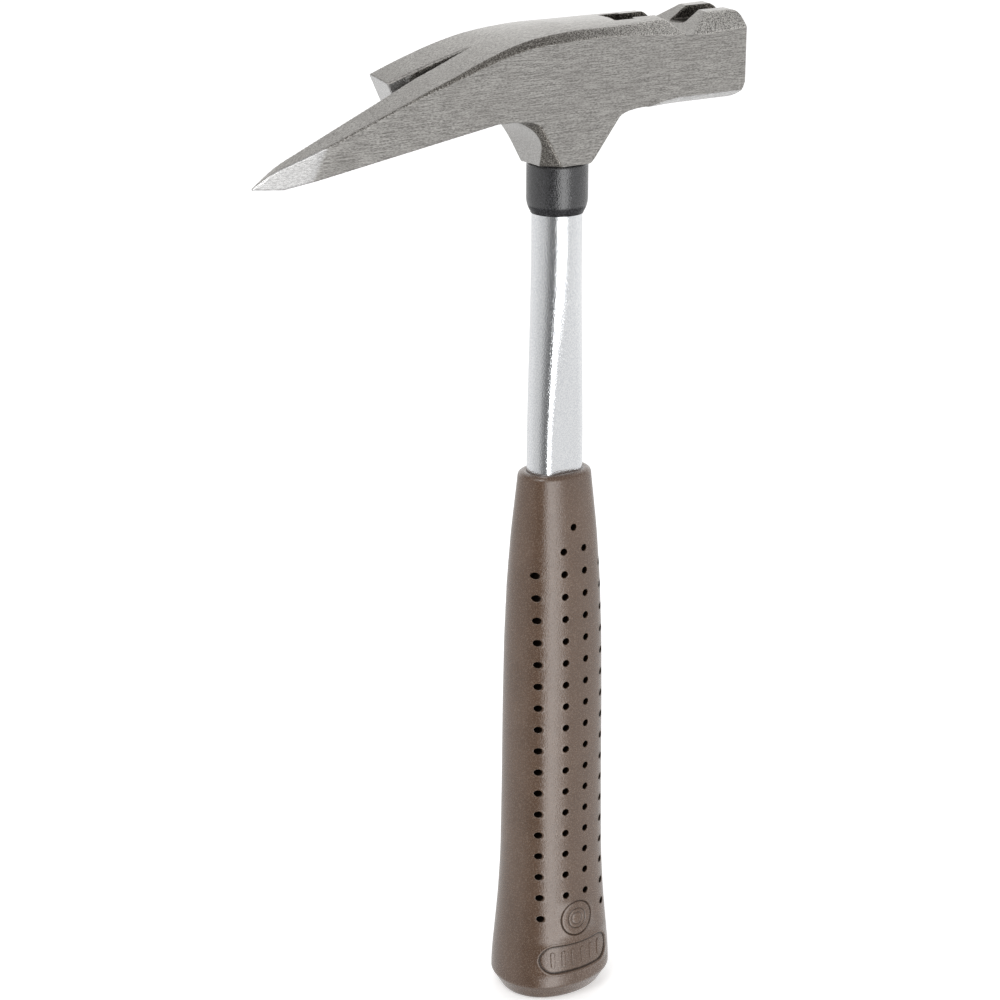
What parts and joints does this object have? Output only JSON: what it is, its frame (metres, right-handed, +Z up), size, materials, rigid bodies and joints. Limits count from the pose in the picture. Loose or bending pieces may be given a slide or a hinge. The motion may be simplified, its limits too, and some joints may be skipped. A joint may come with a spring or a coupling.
{
  "type": "roofing hammer",
  "caption": "Roofing hammer: forged head with a square striking face, a nail holder, a long point and a short nail-pulling prong, on a tubular handle with a perforated grip.",
  "frame": {"origin": "middle of the flat butt face at the grip's lower end, on the handle's axis", "axes": "+Z up the handle to the head, +X to the striking face, +Y to the side of the short prong"},
  "size_m": [0.1785, 0.036, 0.3326],
  "materials": {
    "forged_steel": "ground",
    "magnet": "matte",
    "plain_steel": "satin",
    "plated_steel": "satin",
    "black_plastic": "satin",
    "brown_grip": "satin"
  },
  "bodies": {
    "root": {"head": "forged_steel", "nail_magnet": "magnet", "eye_wedge": "plain_steel", "handle_tube": "plated_steel", "collar": "black_plastic", "grip": "brown_grip", "tube_stopper": "black_plastic"}
  },
  "joints": []
}
